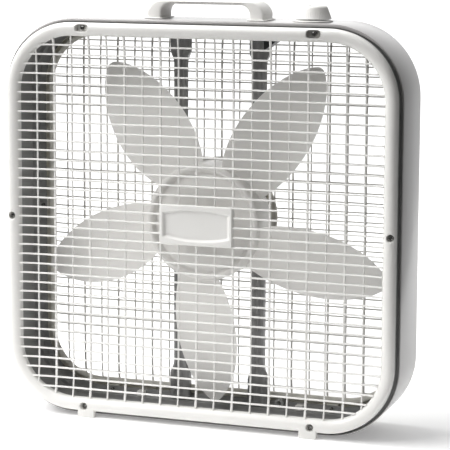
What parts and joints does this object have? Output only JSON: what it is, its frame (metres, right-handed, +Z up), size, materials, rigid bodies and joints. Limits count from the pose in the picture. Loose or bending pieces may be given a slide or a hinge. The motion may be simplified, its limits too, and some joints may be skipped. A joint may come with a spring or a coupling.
{
  "type": "box fan",
  "caption": "Square steel-wrapped box fan with moulded lattice grilles, a bladed impeller on its motor, a carry handle and a top speed knob.",
  "frame": {"origin": "on the ground, under the middle of the case", "axes": "+X to the right seen from the front, the front grille faces -Y, +Z up"},
  "size_m": [0.525, 0.113, 0.5383],
  "materials": {
    "moulded_white": "satin moulded",
    "painted_steel": "satin paint",
    "dark_steel": "gloss black paint",
    "blade_plastic": "semi-gloss",
    "zinc_plate": "zinc plated",
    "core_steel": "bare laminations",
    "copper": "enamelled wire",
    "bronze": "sintered",
    "black_plastic": "matt",
    "milky_nylon": "translucent"
  },
  "bodies": {
    "housing": {"front_grille": "moulded_white", "rear_grille": "moulded_white", "carry_handle": "moulded_white", "dial_plate": "moulded_white", "housing_wrap": "painted_steel", "left_strut": "dark_steel", "right_strut": "dark_steel", "motor_front_shell": "dark_steel", "motor_rear_shell": "dark_steel", "front_screw_top_left": "zinc_plate", "front_screw_top_right": "zinc_plate", "front_screw_bottom_left": "zinc_plate", "front_screw_bottom_right": "zinc_plate", "front_screw_side_left": "zinc_plate", "front_screw_side_right": "zinc_plate", "rear_screw_top_left": "zinc_plate", "rear_screw_top_right": "zinc_plate", "rear_screw_bottom_left": "zinc_plate", "rear_screw_bottom_right": "zinc_plate", "rear_screw_side_left": "zinc_plate", "rear_screw_side_right": "zinc_plate", "strut_screw_top_left": "zinc_plate", "strut_screw_top_right": "zinc_plate", "strut_screw_bottom_left": "zinc_plate", "strut_screw_bottom_right": "zinc_plate", "motor_screw_top_left": "zinc_plate", "motor_screw_top_right": "zinc_plate", "motor_screw_bottom_left": "zinc_plate", "motor_screw_bottom_right": "zinc_plate", "handle_screw_left": "zinc_plate", "handle_screw_right": "zinc_plate", "switch_nut": "zinc_plate", "stator_core": "core_steel", "stator_winding": "copper", "front_bearing": "bronze", "rear_bearing": "bronze", "switch_body": "black_plastic", "control_cover": "black_plastic", "run_capacitor": "black_plastic", "motor_lead": "black_plastic", "cord_gland": "milky_nylon"},
    "impeller_body": {"impeller": "blade_plastic", "hub_nut": "black_plastic", "motor_shaft": "zinc_plate", "rotor_core": "core_steel"},
    "knob_body": {"speed_knob": "moulded_white", "switch_spindle": "zinc_plate"}
  },
  "joints": [
    {"name": "impeller_spin", "type": "hinge", "parent": "housing", "child": "impeller_body", "pos_m": [0, 0, 0.2585], "axis": [0, 1, 0], "continuous": true},
    {"name": "speed_select", "type": "hinge", "parent": "housing", "child": "knob_body", "pos_m": [0.135, 0, 0.514], "axis": [0, 0, -1], "range_deg": [0, 135]}
  ]
}
